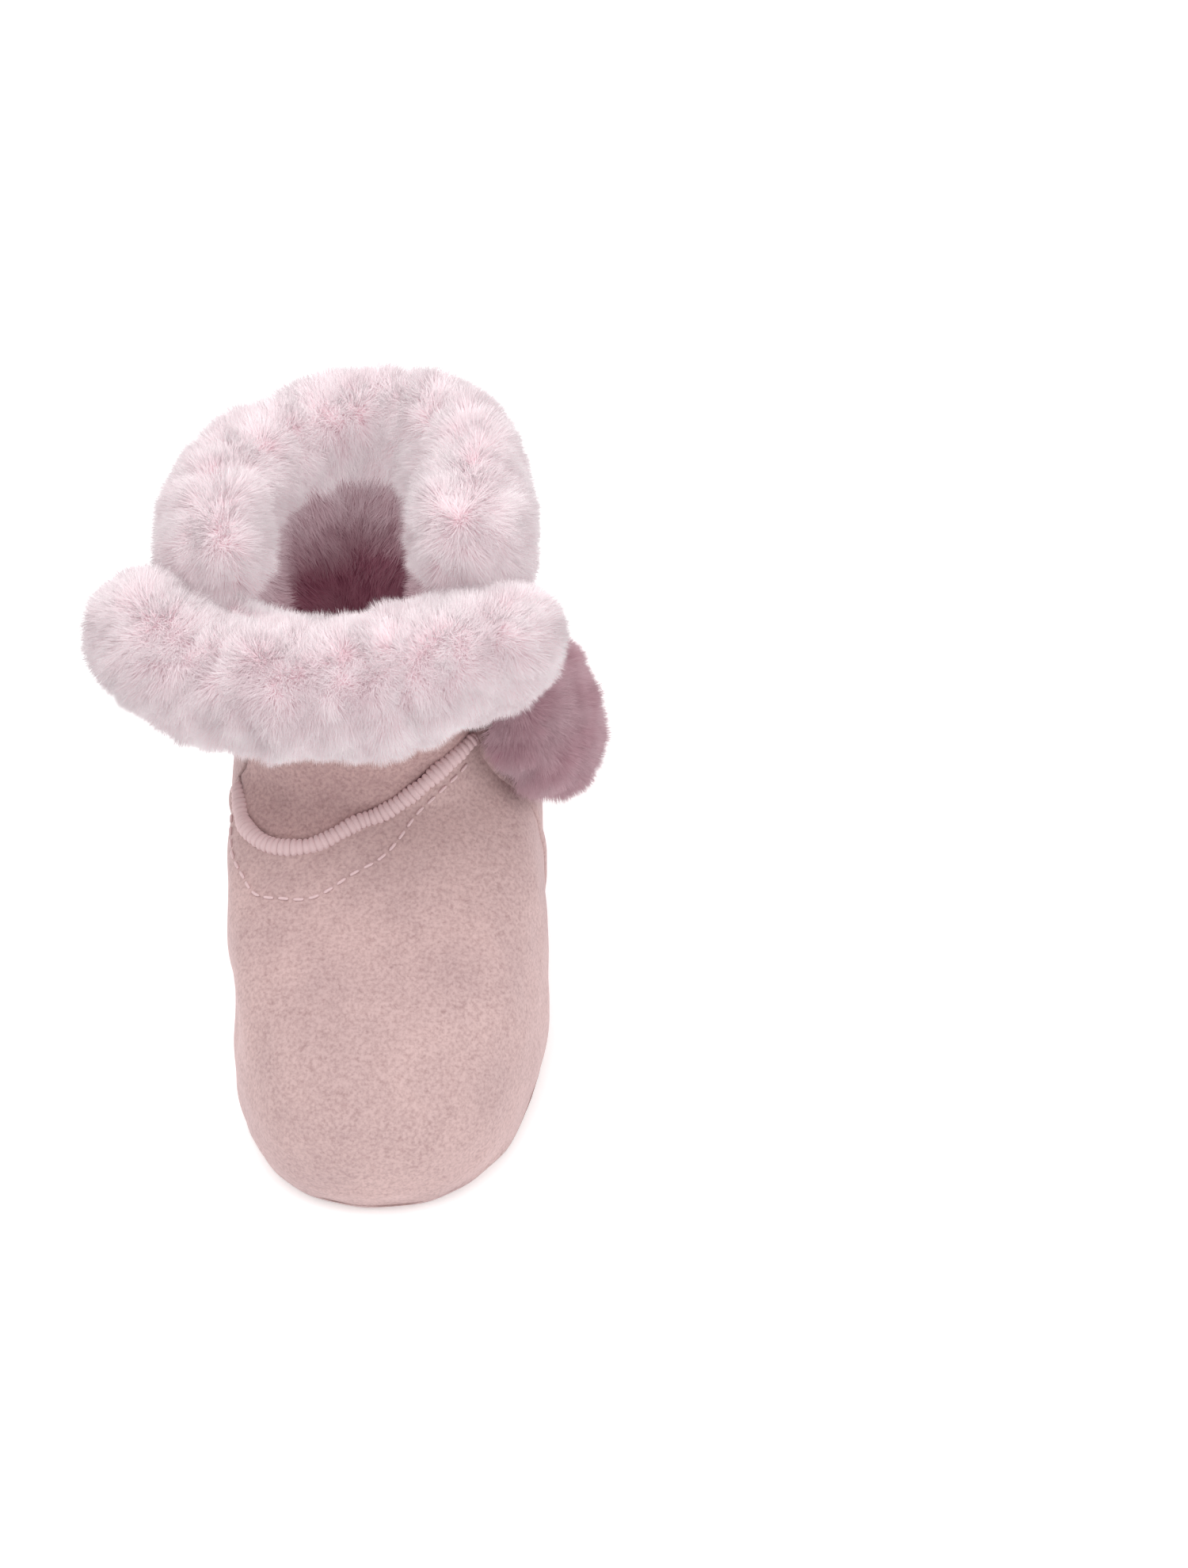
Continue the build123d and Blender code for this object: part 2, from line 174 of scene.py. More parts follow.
def turn_at(y, z, side):
    """The turn at which an outline passes a given y, on the lateral (1) or the medial (-1) side."""
    centre, middle, width, front, back = sizes(z)
    behind = y > middle
    k = np.where(side > 0, np.where(behind, 0, 3), np.where(behind, 1, 2))
    share = np.clip(np.abs(y - middle) / np.where(behind, back, front), 0, 1)
    low, high = np.zeros_like(share), np.ones_like(share)
    for _ in range(30):
        t = (low + high) / 2
        under = quarter_arc(FULLNESS[k], t)[1] < share
        low, high = np.where(under, t, low), np.where(under, high, t)
    turned = np.where(behind, t, -t) * side
    return turned + (4 if side > 0 else 2)


def throat(x):
    """Height of the throat edge at each x."""
    return smooth(THROAT, x)


def throat_height(turns_at, low=30.0, high=75.0, count=181):
    """Where each column of the foot meets the throat edge: the first level that lies above the edge."""
    z = np.linspace(low, high, count)[:, None]
    above = z - throat(ring(turns_at(z), z)[..., 0])
    first = np.argmax(above > 0, axis=0)
    a, b = above[first - 1, np.arange(above.shape[1])], above[first, np.arange(above.shape[1])]
    return z[first - 1, 0] + (z[1, 0] - z[0, 0]) * a / (a - b)


def lumps(points, size, seed, count=5):
    """Soft bumps between about -1 and 1: sine waves of about one size, in directions drawn by the seed."""
    draw = np.random.default_rng(seed)
    total = 0
    for _ in range(count):
        way = draw.normal(size=3)
        way *= 2 * math.pi / (size * draw.uniform(0.7, 1.4) * np.linalg.norm(way))
        total = total + np.sin(points @ way + draw.uniform(0, 6.28))
    return total / math.sqrt(count / 2) / 1.6


def grid_normals(points):
    """Unit normals of a grid of points, from the cross product of its two directions."""
    along = np.gradient(points, axis=0)
    across = np.gradient(points, axis=1)
    normal = np.cross(along, across)
    return normal / np.maximum(np.linalg.norm(normal, axis=-1, keepdims=True), 1e-9)


def mesh_piece(name, vertices, faces, material, uv=None):
    """A new mesh object from vertices in mm and faces, with its material."""
    mesh = bpy.data.meshes.new(name)
    mesh.from_pydata((np.asarray(vertices, float) * MM).tolist(), [], np.asarray(faces).tolist())
    if uv is not None:
        mesh.uv_layers.new(name="OFBake").data.foreach_set("uv", uv[np.asarray(faces).ravel()].ravel())
    mesh.materials.append(material)
    mesh.polygons.foreach_set("use_smooth", np.ones(len(mesh.polygons), bool))
    piece = bpy.data.objects.new(name, mesh)
    bpy.context.collection.objects.link(piece)
    return piece


def grid_faces(rows, columns, wrap=False):
    """Quads of a grid of rows by columns, with the last column joined to the first if it wraps."""
    r = np.arange(rows - 1)[:, None]
    c = np.arange(columns if wrap else columns - 1)[None, :]
    d = (c + 1) % columns
    corners = [r * columns + c, r * columns + d, (r + 1) * columns + d, (r + 1) * columns + c]
    return np.stack(corners, -1).reshape(-1, 4)


def skin_piece(name, points, material):
    """A sheet of suede: a grid of points with a wall of even thickness inside it."""
    piece = mesh_piece(name, points.reshape(-1, 3), grid_faces(*points.shape[:2]), material)
    wall = piece.modifiers.new("wall", "SOLIDIFY")
    wall.thickness = SUEDE * MM
    wall.offset = -1
    wall.use_even_offset = False
    return piece


def socket_group(name, inputs, outputs):
    """A new shader node group with the named inputs, given as (kind, name, value), and outputs."""
    group = bpy.data.node_groups.new(name, "ShaderNodeTree")
    for kind, label, value in inputs:
        socket = group.interface.new_socket(label, in_out="INPUT", socket_type=kind)
        if value is not None:
            socket.default_value = value
    for kind, label in outputs:
        group.interface.new_socket(label, in_out="OUTPUT", socket_type=kind)
    return group, group.nodes.new("NodeGroupInput"), group.nodes.new("NodeGroupOutput")


def noise(tree, vector, scale, detail, rough):
    """A noise texture's value, its scale in waves per metre."""
    node = tree.nodes.new("ShaderNodeTexNoise")
    node.inputs["Scale"].default_value = scale
    node.inputs["Detail"].default_value = detail
    node.inputs["Roughness"].default_value = rough
    tree.links.new(vector, node.inputs["Vector"])
    return node.outputs["Fac"]


def ramp(tree, factor, stops):
    """A colour ramp from (place, colour) stops."""
    node = tree.nodes.new("ShaderNodeValToRGB")
    node.color_ramp.elements.remove(node.color_ramp.elements[1])
    for k, (place, colour) in enumerate(stops):
        element = node.color_ramp.elements[0] if k == 0 else node.color_ramp.elements.new(place)
        element.position = place
        element.color = (*colour, 1)
    tree.links.new(factor, node.inputs["Fac"])
    return node.outputs["Color"]


def mix(tree, kind, factor, a, b):
    """A colour mix. factor is a number or a socket."""
    node = tree.nodes.new("ShaderNodeMix")
    node.data_type = "RGBA"
    node.blend_type = kind
    if isinstance(factor, (int, float)):
        node.inputs["Factor"].default_value = factor
    else:
        tree.links.new(factor, node.inputs["Factor"])
    tree.links.new(a, node.inputs[6])
    tree.links.new(b, node.inputs[7])
    return node.outputs[2]


# The nap of suede: short fibres brushed this way and that, which show as fine light and dark grains, broad
# patches where the nap lies over, and a soft height for the bump.
nap_group, nap_in, nap_out = socket_group(
    "suede_nap",
    [("NodeSocketColor", "Dark", None), ("NodeSocketColor", "Light", None),
     ("NodeSocketFloat", "Patches", 0.5)],
    [("NodeSocketColor", "Color"), ("NodeSocketFloat", "Height")])
place = nap_group.nodes.new("ShaderNodeTexCoord").outputs["Object"]
grain = noise(nap_group, place, 1500.0, 2.0, 0.6)
fibre = noise(nap_group, place, 620.0, 3.0, 0.6)
patch = noise(nap_group, place, 55.0, 4.0, 0.6)
tone = ramp(nap_group, grain, [(0.2, (0, 0, 0)), (0.62, (1, 1, 1))])
broad = ramp(nap_group, patch, [(0.3, (0.84, 0.82, 0.84)), (0.7, (1.06, 1.05, 1.05))])
speckle = ramp(nap_group, fibre, [(0.3, (0.78, 0.72, 0.72)), (0.46, (1, 1, 1))])
base = nap_group.nodes.new("ShaderNodeMix")
base.data_type = "RGBA"
nap_group.links.new(tone, base.inputs["Factor"])
nap_group.links.new(nap_in.outputs["Dark"], base.inputs[6])
nap_group.links.new(nap_in.outputs["Light"], base.inputs[7])
patched = mix(nap_group, "MULTIPLY", nap_in.outputs["Patches"], base.outputs[2], broad)
nap_group.links.new(mix(nap_group, "MULTIPLY", 0.5, patched, speckle), nap_out.inputs["Color"])
height = nap_group.nodes.new("ShaderNodeMath")
height.operation = "ADD"
nap_group.links.new(grain, height.inputs[0])
nap_group.links.new(fibre, height.inputs[1])
nap_group.links.new(height.outputs[0], nap_out.inputs["Height"])


def new_material(name, roughness, sheen=0.0, sheen_tint=(1, 1, 1)):
    """A material with a plain shader, and its shader node."""
    material = bpy.data.materials.new(name)
    material.use_nodes = True
    shader = material.node_tree.nodes["Principled BSDF"]
    shader.inputs["Roughness"].default_value = roughness
    shader.inputs["Specular IOR Level"].default_value = 0.2
    shader.inputs["Sheen Weight"].default_value = sheen
    shader.inputs["Sheen Roughness"].default_value = 0.5
    shader.inputs["Sheen Tint"].default_value = (*sheen_tint, 1)
    return material, shader


def suede_material(name, dark, light, patches=0.8, bump=0.35):
    """Suede: the nap group's colours, a soft sheen, and its grain as a bump."""
    material, shader = new_material(name, 0.92, 0.35, (1.0, 0.86, 0.88))
    tree = material.node_tree
    nap = tree.nodes.new("ShaderNodeGroup")
    nap.node_tree = nap_group
    nap.inputs["Dark"].default_value = (*dark, 1)
    nap.inputs["Light"].default_value = (*light, 1)
    nap.inputs["Patches"].default_value = patches
    tree.links.new(nap.outputs["Color"], shader.inputs["Base Color"])
    relief = tree.nodes.new("ShaderNodeBump")
    relief.inputs["Strength"].default_value = bump
    relief.inputs["Distance"].default_value = 0.0004
    tree.links.new(nap.outputs["Height"], relief.inputs["Height"])
    tree.links.new(relief.outputs["Normal"], shader.inputs["Normal"])
    return material


pink_suede = suede_material("pink_suede", (0.41, 0.275, 0.265), (0.60, 0.435, 0.42))
deep_suede = suede_material("deep_suede", (0.40, 0.255, 0.245), (0.61, 0.42, 0.405))
sole_suede = suede_material("sole_suede", (0.42, 0.29, 0.28), (0.60, 0.45, 0.43), 1.0, 0.5)

COLUMNS, ROWS = 200, 100


def vamp_turn(z, u=np.linspace(0, 1, COLUMNS)):
    """Turns of the vamp's columns, from the medial seam round the toe to the lateral seam."""
    start, end = turn_at(SEAM_Y, z, -1), turn_at(SEAM_Y, z, 1)
    return start + (end - start) * u


def dented(points):
    """Soft suede: broad low lumps, and a shallow dent on each side where the toe gives way to the instep."""
    normal = -grid_normals(points)
    soft = 0.45 * lumps(points, 30, 3) + 0.16 * lumps(points, 11, 4)
    for x, y, z, depth, reach in ((-31, -25, 20, 2.8, 8), (30, -20, 26, 1.0, 9), (8, -30, 40, 0.5, 12)):
        away = ((points - (x, y, z)) ** 2).sum(-1) / reach**2
        soft = soft - depth * np.exp(-away)
    return points + normal * soft[..., None]


rise = throat_height(vamp_turn)
rows = np.linspace(0, 1, ROWS)[:, None]
z = UPPER_START + (rise - UPPER_START) * rows
vamp_points = dented(ring(vamp_turn(z), z))
vamp = skin_piece("vamp_suede", vamp_points, pink_suede)
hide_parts("vamp")
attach(vamp, "boot")

# ------------------------------------------------------------------------------------------------------------
# Heel quarter. One piece of the same suede from seam to seam round the heel, up to the collar's rim.


def heel_turn(z, u=np.linspace(0, 1, COLUMNS)):
    """Turns of the quarter's columns, from the lateral seam round the heel to the medial seam."""
    start, end = turn_at(SEAM_Y, z, 1) - 4, turn_at(SEAM_Y, z, -1)
    return start + (end - start) * u


z = UPPER_START + (QUARTER[1][2] - UPPER_START) * np.linspace(0, 1, ROWS)[:, None]
quarter = skin_piece("heel_quarter_suede", dented(ring(heel_turn(z), z)), pink_suede)
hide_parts("heel_quarter")
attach(quarter, "boot")

# ------------------------------------------------------------------------------------------------------------
# Flap panel. The front of the shaft is a separate piece of suede behind the throat seam, a little darker and
# redder than the vamp. It hinges at the seam and carries the flap's roll of fleece.
FLAP_TOP = 86.0


def front_turn(z, u=np.linspace(0, 1, COLUMNS)):
    """Turns of the flap's columns, from just ahead of the medial seam to just ahead of the lateral one."""
    start, end = turn_at(SEAM_Y - 0.4, z, -1), turn_at(SEAM_Y - 0.4, z, 1)
    return start + (end - start) * u


rise = throat_height(front_turn) + 0.4
z = rise + (FLAP_TOP - rise) * np.linspace(0, 1, 50)[:, None]
panel_points = ring(front_turn(z), z, 0.5)
panel_points = panel_points - grid_normals(panel_points) * 0.35 * lumps(panel_points, 14, 8)[..., None]
panel = skin_piece("flap_panel_suede", panel_points, deep_suede)
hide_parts("flap_panel")
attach(panel, "front_flap")

# ------------------------------------------------------------------------------------------------------------
# Throat seam. The vamp's edge is bound with a thick overlocked thread, laid over the edge in slanting turns,
# and a row of small straight stitches below it holds the lining.
thread, shader = new_material("pink_thread", 0.85, 0.4, (1, 0.85, 0.88))
shader.inputs["Base Color"].default_value = (0.69, 0.515, 0.52, 1)


def tube(name, path, radius, material, around, squash, out):
    """A tube along a path, with one radius for each path point and its flatter side facing out."""
    tangent = np.gradient(path, axis=0)
    tangent /= np.linalg.norm(tangent, axis=1, keepdims=True)
    side = np.cross(tangent, out)
    side /= np.linalg.norm(side, axis=1, keepdims=True)
    out = np.cross(side, tangent)
    angle = np.linspace(0, 2 * math.pi, around, endpoint=False)
    spoke = side[:, None] * np.cos(angle)[None, :, None] + squash * out[:, None] * np.sin(angle)[None, :, None]
    points = path[:, None] + radius[:, None, None] * spoke
    return mesh_piece(name, points.reshape(-1, 3), grid_faces(len(path), around, True)[:, ::-1], material)


def even_path(points, step):
    """The same path with points a step apart."""
    run = np.concatenate([[0], np.cumsum(np.linalg.norm(np.diff(points, axis=0), axis=1))])
    at = np.linspace(0, run[-1], int(run[-1] / step))
    return np.stack([np.interp(at, run, points[:, k]) for k in range(3)], -1)


edge = vamp_points[-1]
outward = -grid_normals(vamp_points)[-1]
STEPS_PER_MM = 10
THREAD_STEP = 1 / STEPS_PER_MM
path = even_path(edge[2:-2], THREAD_STEP)
facing = even_path(edge[2:-2] + outward[2:-2] * 5, THREAD_STEP)
facing = np.stack([np.interp(np.linspace(0, 1, len(path)), np.linspace(0, 1, len(facing)), facing[:, k])
                   for k in range(3)], -1) - path
facing /= np.linalg.norm(facing, axis=1, keepdims=True)
TURN_PITCH, OVERLOCK_RADIUS = 1.15, 1.65
run = np.arange(len(path)) * THREAD_STEP
ends = np.sqrt(np.clip(np.minimum(run, run[-1] - run) / 1.5, 0, 1))
wobble = 1 + 0.1 * lumps(path, 4, 21)
turns = 0.76 + 0.26 * np.abs(np.sin(math.pi * run / TURN_PITCH)) ** 0.6
cord_radius = OVERLOCK_RADIUS * ends * wobble * turns
over_edge = path - [0, 0, 0.8] + 0.75 * facing
overlock = tube("throat_overlock_thread", over_edge, cord_radius, thread, 16, 0.9, facing)
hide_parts("throat_overlock")
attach(overlock, "boot")

below = np.array([np.interp(rise_k - 4.2, column[:, 2], np.arange(ROWS)) for rise_k, column in
                  zip(vamp_points[-1, :, 2], vamp_points.transpose(1, 0, 2))])
low = np.floor(below).astype(int)
share = (below - low)[:, None]
columns = np.arange(COLUMNS)
rail = vamp_points[low, columns] * (1 - share) + vamp_points[low + 1, columns] * share
rail_out = -grid_normals(vamp_points)[low, columns]
rail = even_path((rail + rail_out * 0.22)[9:-9], THREAD_STEP)
STITCH_PITCH, STITCH_LENGTH, STITCH_RADIUS = 3.0, 2.1, 0.30
vertices, faces = [], []
for k in range(int(len(rail) * THREAD_STEP / STITCH_PITCH)):
    start, end = k * STITCH_PITCH * STEPS_PER_MM, (k * STITCH_PITCH + STITCH_LENGTH) * STEPS_PER_MM
    piece_path = rail[int(start): int(end) + 1]
    t = np.linspace(-1, 1, len(piece_path))
    radius = STITCH_RADIUS * np.sqrt(np.clip(1 - t**4, 0, 1))
    along = piece_path[-1] - piece_path[0]
    side = np.cross(along, [0, 0, 1.0])
    side /= np.linalg.norm(side)
    up = np.cross(side, along) / np.linalg.norm(along)
    angle = np.linspace(0, 2 * math.pi, 8, endpoint=False)
    spoke = side * np.cos(angle)[:, None] + up * np.sin(angle)[:, None]
    points = piece_path[:, None] + radius[:, None, None] * spoke
    faces.append(grid_faces(len(t), 8, True) + sum(len(v) for v in vertices))
    vertices.append(points.reshape(-1, 3))
stitches = mesh_piece("throat_topstitch_thread", np.concatenate(vertices), np.concatenate(faces), thread)
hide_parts("throat_topstitch")
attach(stitches, "boot")

# ------------------------------------------------------------------------------------------------------------
# Side and back seams. Each is a narrow band of suede, 3 mm wide, stitched flat over the join from the sole up.


def seam_band(name, path, facing, node):
    """A low oval ridge along a path, set a little into the suede under it."""
    path = even_path(path, 0.8)
    facing = np.stack([np.interp(np.linspace(0, 1, len(path)), np.linspace(0, 1, len(facing)), facing[:, k])
                       for k in range(3)], -1)
    t = np.linspace(-1, 1, len(path))
    band = tube(name, path, 1.5 * np.sqrt(np.clip(1 - t**20, 0, 1)), pink_suede, 16, 0.42, facing)
    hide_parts(node)
    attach(band, "boot")


vamp_out = -grid_normals(vamp_points)
seam_band("medial_seam_band", vamp_points[:-6, 0], vamp_out[:-6, 0], "medial_side_seam")
seam_band("lateral_seam_band", vamp_points[:-6, -1], vamp_out[:-6, -1], "lateral_side_seam")
z = np.linspace(3, 84, 90)
turned = np.linspace(0.5, 1.5, 200)
across_back = ring(turned[None, :], z[:, None])
at_back = np.array([np.interp(0, -row[:, 0], turned) for row in across_back])
back_path = ring(at_back, z)
back_out = np.tile([0.0, 1.0, 0.0], (len(z), 1))
back_path = back_path + back_out * (0.45 * lumps(back_path, 30, 3) + 0.16 * lumps(back_path, 11, 4))[:, None]
seam_band("back_seam_band", back_path, back_out, "back_seam")

# ------------------------------------------------------------------------------------------------------------
# Fleece. The whole bootie is lined with shearling about 6 mm deep, coloured with a pink dye, and the same pelt
# is turned out over the rim as the collar's cuff. Each piece is a soft base surface with its pile of wool
# standing on
# it. The wool is paler at its tips than at its roots. Down inside the bootie it is painted darker and redder:
# painted shade for the hollow.
PALE_WOOL = [(0.0, (0.82, 0.56, 0.615)), (0.4, (0.94, 0.775, 0.815)), (0.95, (0.975, 0.90, 0.92))]
# Colours of the wool in deep shade down inside the bootie: painted shade, a darker copy of the wool above.
SHADED_WOOL = [(0.0, (0.15, 0.03, 0.055)), (0.4, (0.27, 0.08, 0.125)), (0.95, (0.42, 0.165, 0.22))]
LOCK_THICKNESS, CLUMPING = 0.21, 0.2


def fleece_material(name):
    """Wool: colour from the piece's map, across from painted shade to lit wool and up from root to tip."""
    material, shader = new_material(name, 1.0)
    shader.inputs["Specular IOR Level"].default_value = 0.0
    # The wool glows faintly in its own colour: painted light, standing in for light that scatters through the
    # pile.
    shader.inputs["Emission Strength"].default_value = 0.2
    tree = material.node_tree
    uv = tree.nodes.new("ShaderNodeUVMap")
    uv.uv_map = "OFBake"
    apart = tree.nodes.new("ShaderNodeSeparateXYZ")
    tree.links.new(uv.outputs["UV"], apart.inputs["Vector"])
    pale = ramp(tree, apart.outputs["Y"], PALE_WOOL)
    deep = ramp(tree, apart.outputs["Y"], SHADED_WOOL)
    dye_and_shade = mix(tree, "MIX", apart.outputs["X"], deep, pale)
    tree.links.new(dye_and_shade, shader.inputs["Base Color"])
    tree.links.new(dye_and_shade, shader.inputs["Emission Color"])
    return material


fleece = fleece_material("pink_fleece")


def wool(name, base, pile, count, seed, paleness, lean=(0, 0, 0)):
    """Pile of wool on a grid of base points whose faces turn outward: count thin three-sided locks that taper
    to a point. Each leans with its neighbours by smooth noise, so they gather in tufts about 3 mm across."""
    draw = np.random.default_rng(seed)
    normal = grid_normals(base)
    a, b, c, d = base[:-1, :-1], base[1:, :-1], base[:-1, 1:], base[1:, 1:]
    area = np.linalg.norm(np.cross(d - a, c - b), axis=-1).ravel()
    cell = draw.choice(len(area), count, p=area / area.sum())
    i, j = cell // (base.shape[1] - 1), cell % (base.shape[1] - 1)
    s, t = draw.random((2, count, 1))

    def at(field):
        return ((1 - s) * (1 - t) * field[i, j] + s * (1 - t) * field[i + 1, j]
                + (1 - s) * t * field[i, j + 1] + s * t * field[i + 1, j + 1])

    root, up = at(base), at(normal)
    way = np.stack([lumps(root, 3.4, seed + k) for k in (1, 2, 3)], -1) * CLUMPING
    way += np.stack([lumps(root, 9.0, seed + k) for k in (4, 5, 6)], -1) * 0.2
    way = up + way + np.array(lean) + draw.normal(size=(count, 3)) * 0.2
    way /= np.linalg.norm(way, axis=1, keepdims=True)
    length = pile * (0.72 + 0.3 * draw.random(count)) * (1 + 0.14 * lumps(root, 4.5, seed + 7))
    side = np.cross(way, draw.normal(size=(count, 3)))
    side /= np.linalg.norm(side, axis=1, keepdims=True)
    across = np.cross(way, side)
    angle = np.arange(3) * 2 * math.pi / 3
    spoke = side[:, None] * np.cos(angle)[None, :, None] + across[:, None] * np.sin(angle)[None, :, None]
    width = LOCK_THICKNESS / 2 * (0.7 + 0.6 * draw.random((count, 1, 1)))
    foot = (root - up * 0.4)[:, None] + width * spoke
    tip = (root + way * length[:, None])[:, None]
    vertices = np.concatenate([foot, tip], 1).reshape(-1, 3)
    first = np.arange(count)[:, None] * 4
    faces = np.concatenate([first + [0, 1, 3], first + [1, 2, 3], first + [2, 0, 3]], 1).reshape(-1, 3)
    shade = paleness(root) if callable(paleness) else np.full(count, paleness)
    shade = np.clip(shade + 0.06 * lumps(root, 7, seed + 9) + 0.05 * draw.normal(size=count), 0.01, 0.99)
    uv = np.stack([np.repeat(shade, 4), np.tile([0.02, 0.02, 0.02, 0.98], count)], -1)
    piece = mesh_piece(name, vertices, faces, fleece, uv)
    soft = up[:, None] + 0.5 * np.concatenate([spoke, np.zeros((count, 1, 3))], 1)
    soft /= np.linalg.norm(soft, axis=2, keepdims=True)
    piece.data.normals_split_custom_set_from_vertices(soft.reshape(-1, 3).tolist())
    return piece


def pelt(name, base, paleness):
    """The base surface under a pile, with the colour of the wool's lower half."""
    shade = paleness(base.reshape(-1, 3)) if callable(paleness) else np.full(base[..., 0].size, paleness)
    uv = np.stack([np.clip(shade, 0.01, 0.99), np.full(len(shade), 0.35)], -1)
    return mesh_piece(name, base.reshape(-1, 3), grid_faces(*base.shape[:2]), fleece, uv)


def profile(points, count):
    """A smooth path through (inset, height) points, as two rows of count values."""
    points = np.array(points, float)
    run = np.concatenate([[0], np.cumsum(np.linalg.norm(np.diff(points, axis=0), axis=1))])
    at = np.linspace(0, run[-1], count)
    return smooth(list(zip(run, points[:, 0])), at), smooth(list(zip(run, points[:, 1])), at)


def facing_out(base, rows, out=True):
    """The same grid, turned if need be so its given rows face away from the shaft's axis, or towards it."""
    some = base[rows]
    centre, middle = sizes(some[..., 2])[:2]
    away = some - np.stack([centre, middle, some[..., 2]], -1)
    score = (grid_normals(base)[rows] * away).sum()
    return base if (score > 0) == out else base[:, ::-1]


def depth_shade(z0, z1):
    """Paleness that falls from 1 at height z1 to 0 at z0: painted shade that deepens down inside the bootie."""
    return lambda points: np.clip((points[:, 2] - z0) / (z1 - z0), 0, 1)


def collar_surface(path, columns, bottom):
    """The collar's pelt: a profile carried round the heel. Above the bottom height it rounds off to its middle
    line at both front ends, where it meets the flap."""
    inset, z = path
    u = np.linspace(0, 1, columns)
    ends = np.sqrt(np.clip(1 - (1 - np.minimum(u, 1 - u) / 0.11).clip(0) ** 2, 0, 1))
    grip = np.clip((z - bottom) / 8, 0, 1)[:, None]
    shrink = 1 - grip * (1 - ends[None, :])
    inset = 3.0 + (inset[:, None] - 3.0) * shrink
    z = np.broadcast_to(z[:, None], inset.shape)
    z = z - (z - 92).clip(0) * (1 - shrink) * 0.35
    turned = np.stack([heel_turn(z[k:k + 1], u)[0] for k in range(len(z))])
    corner = np.exp(-(((turned + 1) % 4 - 1 - 0.72) / 0.35) ** 2) * np.clip((z - 80) / 20, 0, 1)
    points = ring(turned, z, inset - 2.2 * corner)
    points[..., 2] += ((points[..., 0] + SHAFT_LEAN) / 26 * 2.2 - 0.3) * np.clip((z - 86) / 18, 0, 1)
    return points + grid_normals(points) * (0.8 * lumps(points, 17, 31) + 0.3 * lumps(points, 7, 32))[..., None]


outside = profile([(-0.8, 83.5), (-2.8, 84.0), (-5.0, 88), (-5.8, 95), (-5.2, 101), (-2.8, 106.0), (1.2, 108.4),
                   (5.5, 107.8), (9.2, 103.5), (10.6, 97)], 90)
inside = profile([(10.6, 97), (10.6, 88), (9.6, 76), (9.0, 60), (8.4, 30), (8.2, 12)], 90)
collar = facing_out(collar_surface(outside, 180, 84), slice(20, 40))
inner_wall = facing_out(collar_surface(inside, 180, 84), slice(10, 80), False)
# The shaft lining's wool is painted darker further down: painted shade inside the shaft.
for name, base, parts, count, pile, shade, node in (
        ("collar_cuff", collar, 3, 62000, 5.2, 0.9, "collar_cuff_fleece"),
        ("shaft_lining", inner_wall, 1, 52000, 5.0, depth_shade(74, 108), "quarter_lining")):
    ground = pelt(name + "_pelt", base, shade)
    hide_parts(node)
    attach(ground, "boot")
    cuts = np.linspace(0, base.shape[1] - 1, parts + 1).astype(int)
    for k in range(parts):
        strip = base[:, cuts[k]:cuts[k + 1] + 1]
        coat = wool(f"{name}_wool_{k + 1}", strip, pile, count, 100 * k + len(name), shade, (0, -0.1, -0.4))
        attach(coat, "boot")

rise = throat_height(vamp_turn)
z = 9 + (rise - 1 - 9) * np.linspace(0, 1, 60)[:, None]
toe_lining = ring(vamp_turn(z), z)
toe_lining = facing_out(toe_lining, slice(0, 60), False)
toe_lining = toe_lining + grid_normals(toe_lining) * 7.9
# The toe's lining gets nearly the darkest wool: painted shade for the inside of the toe.
ground = pelt("vamp_lining_pelt", toe_lining, 0.1)
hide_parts("vamp_lining")
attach(ground, "boot")
coat = wool("vamp_lining_wool", toe_lining, 4.0, 18000, 41, 0.1)
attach(coat, "boot")

turned = np.linspace(0, 4, 120)[None, :]
share = np.linspace(0.99, 0.02, 60)[:, None]
footbed = ring(turned, 11.0, 8.4)
centre = footbed.mean(1, keepdims=True)
footbed = centre + (footbed - centre) * share[..., None]
if grid_normals(footbed)[..., 2].mean() < 0:
    footbed = footbed[:, ::-1]
# The footbed's wool is nearly the darkest too: painted shade at the bottom of the bootie.
coat = wool("footbed_wool", footbed, 3.5, 15000, 51, 0.05)
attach(coat, "boot")

# ------------------------------------------------------------------------------------------------------------
# Flap's fleece. Its lining stands up inside the flap, and its turned-out cuff is a fat soft roll across the
# front, wider than the shaft, whose two ends stand free and bend back.
rise = throat_height(front_turn) + 0.6
z = rise + (93 - rise) * np.linspace(0, 1, 60)[:, None]
lining_inset = 8.2 - 8 * np.clip((z - 78) / 15, 0, 1) ** 2
flap_lining = facing_out(ring(front_turn(z), z, lining_inset), slice(0, 60), False)
# The flap's lining is painted darker further down too: painted shade inside the shaft.
ground = pelt("flap_lining_pelt", flap_lining, depth_shade(50, 92))
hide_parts("flap_lining")
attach(ground, "front_flap")
coat = wool("flap_lining_wool", flap_lining, 4.5, 30000, 61, depth_shade(50, 92))
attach(coat, "front_flap")

ROLL = np.array([(-43.4, 17, 88.5, 4.0, 4.5), (-42.6, 9, 89, 8.0, 8.6), (-36.0, 0.5, 87.3, 8.8, 8.8),
                 (-25, -4.5, 87, 9.0, 9.0), (-11, -6.5, 87.3, 9.4, 9.2), (3, -5.0, 88.2, 9.6, 9.4),
                 (15, -0.5, 89.2, 9.0, 9.0), (24.5, 5.0, 89.6, 7.6, 7.8), (28.5, 12, 89, 4.5, 5)])
run = np.concatenate([[0], np.cumsum(np.linalg.norm(np.diff(ROLL[:, :3], axis=0), axis=1))])
at = run[-1] * (1 - np.cos(np.linspace(0, math.pi, 220))) / 2
line = np.stack([smooth(list(zip(run, ROLL[:, k])), at) for k in range(5)], -1)
tangent = np.gradient(line[:, :3], axis=0)
tangent /= np.maximum(np.linalg.norm(tangent, axis=1, keepdims=True), 1e-9)
forward = np.cross(tangent, [0, 0, 1.0])
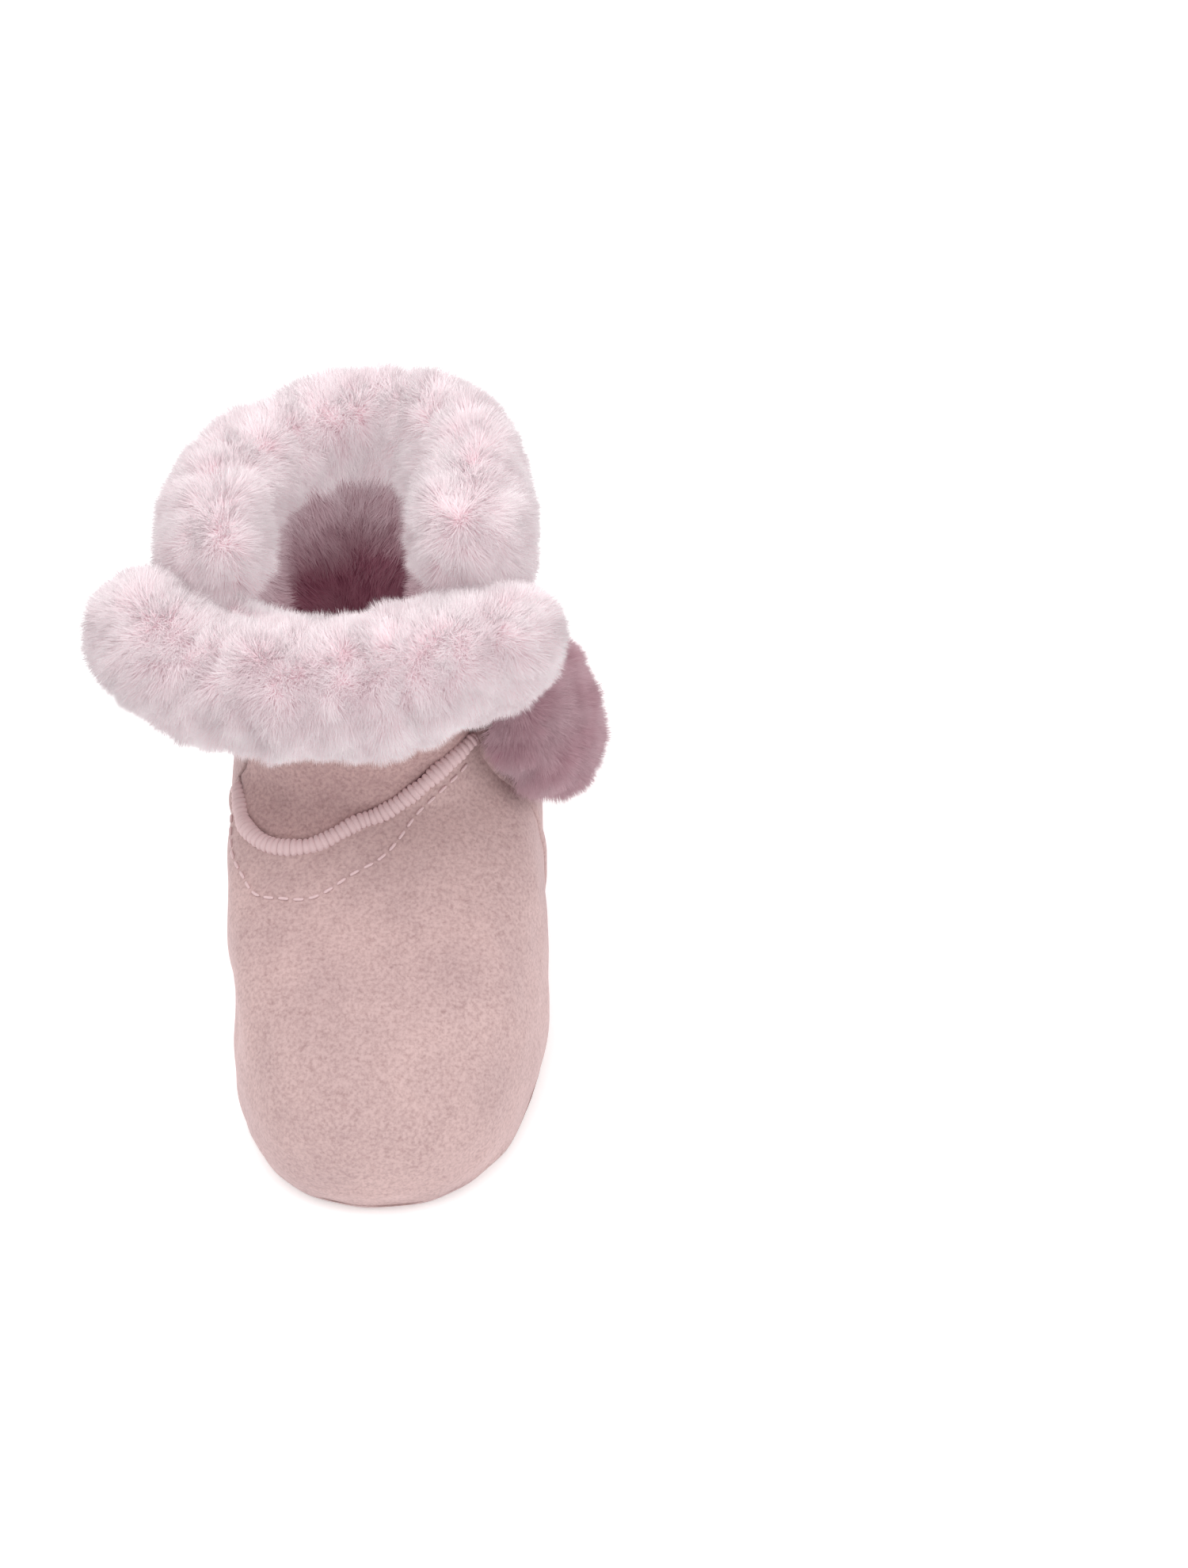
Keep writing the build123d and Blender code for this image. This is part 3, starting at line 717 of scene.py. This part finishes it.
forward /= np.linalg.norm(forward, axis=1, keepdims=True)
above = np.cross(forward, tangent)
close = np.sqrt(np.clip(1 - (1 - np.minimum(at, run[-1] - at) / 6).clip(0) ** 2, 0, 1))[:, None, None]
angle = np.linspace(0, 2 * math.pi, 121)[None, :, None]
roll = line[:, None, :3] + close * (line[:, 3][:, None, None] * np.cos(angle) * forward[:, None]
                                    + line[:, 4][:, None, None] * np.sin(angle) * above[:, None])
turned_out = grid_normals(roll)
if ((roll - line[:, None, :3]) * turned_out).sum() < 0:
    roll = roll[:, ::-1]
    turned_out = grid_normals(roll)
bumps = 0.9 * lumps(roll, 19, 71) + 0.3 * lumps(roll, 8, 72)
roll = roll + turned_out * (bumps * close[..., 0])[..., None]
ground = pelt("flap_roll_pelt", roll, 0.9)
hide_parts("flap_cuff_fleece")
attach(ground, "front_flap")
cuts = [0, 85, 135, 219]
for k in range(3):
    coat = wool(f"flap_roll_wool_{k + 1}", roll[cuts[k]:cuts[k + 1] + 1], 4.9, 62000, 300 + 10 * k, 0.88,
                (0.05, -0.1, -0.4))
    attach(coat, "front_flap")

# ------------------------------------------------------------------------------------------------------------
# Side tab. A lobe of the same pelt, suede inside and wool out, sewn to the flap's lateral edge. It lies back
# over the side seam, where hook tape under it holds to loop tape on the quarter, in the shade of the roll.
TAB_LOW, TAB_HIGH = [np.array(corner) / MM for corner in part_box("tab_fleece")]
rho = np.sin(np.linspace(0.02, 1, 40) * math.pi / 2)[:, None]
angle = np.linspace(0, 2 * math.pi, 97)[None, :]
half_y, half_z = (TAB_HIGH[1] - TAB_LOW[1]) / 2, (TAB_HIGH[2] - TAB_LOW[2]) / 2 + 1
round_off = (np.abs(np.cos(angle)) ** 3 + np.abs(np.sin(angle)) ** 3) ** (-1 / 3)
y = (TAB_LOW[1] + TAB_HIGH[1]) / 2 + half_y * rho * round_off * np.cos(angle)
z = (TAB_LOW[2] + TAB_HIGH[2]) / 2 - 3 + half_z * rho * round_off * np.sin(angle)
out = 4.6 + 8.6 * np.sqrt(1 - rho**3) + 0 * angle
lobe = ring(turn_at(y, z, 1) % 4, z, -out)
if grid_normals(lobe)[..., 0].mean() < 0:
    lobe = lobe[:, ::-1]
# The tab's wool is darker than the cuff's: painted shade from the roll above it.
ground = pelt("tab_pelt", lobe, 0.3)
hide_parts("tab_fleece")
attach(ground, "lateral_tab")
coat = wool("tab_wool", lobe, 6.2, 60000, 401, 0.3, (0.1, -0.1, -0.25))
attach(coat, "lateral_tab")

# ------------------------------------------------------------------------------------------------------------
# Pieces that keep their cut shapes: outsole and its seam allowance, cuff skins, the tab's suede, stitches and
# tapes, and the footbed with its padding. They only get their cloth.
tape, shader = new_material("pink_tape", 0.8, 0.3, (1, 0.85, 0.88))
shader.inputs["Base Color"].default_value = (0.55, 0.38, 0.38, 1)
# Dark wool for the footbed and its padding deep inside the bootie: painted shade.
wool_shaded, shader = new_material("shaded_fleece", 1.0, 0.4, (1, 0.9, 0.92))
shader.inputs["Base Color"].default_value = (0.34, 0.14, 0.18, 1)
CLOTHS = {sole_suede: ["outsole"], deep_suede: ["sole_seam_allowance", "collar_cuff_skin", "flap_cuff_skin"],
          pink_suede: ["tab_base", "tab_skin"],
          thread: ["tab_base_stitches"], tape: ["loop_patch", "hook_patch"],
          wool_shaded: ["footbed_fleece", "insole_padding"]}
for cloth, nodes in CLOTHS.items():
    for node in nodes:
        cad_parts[node].data.materials.clear()
        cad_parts[node].data.materials.append(cloth)
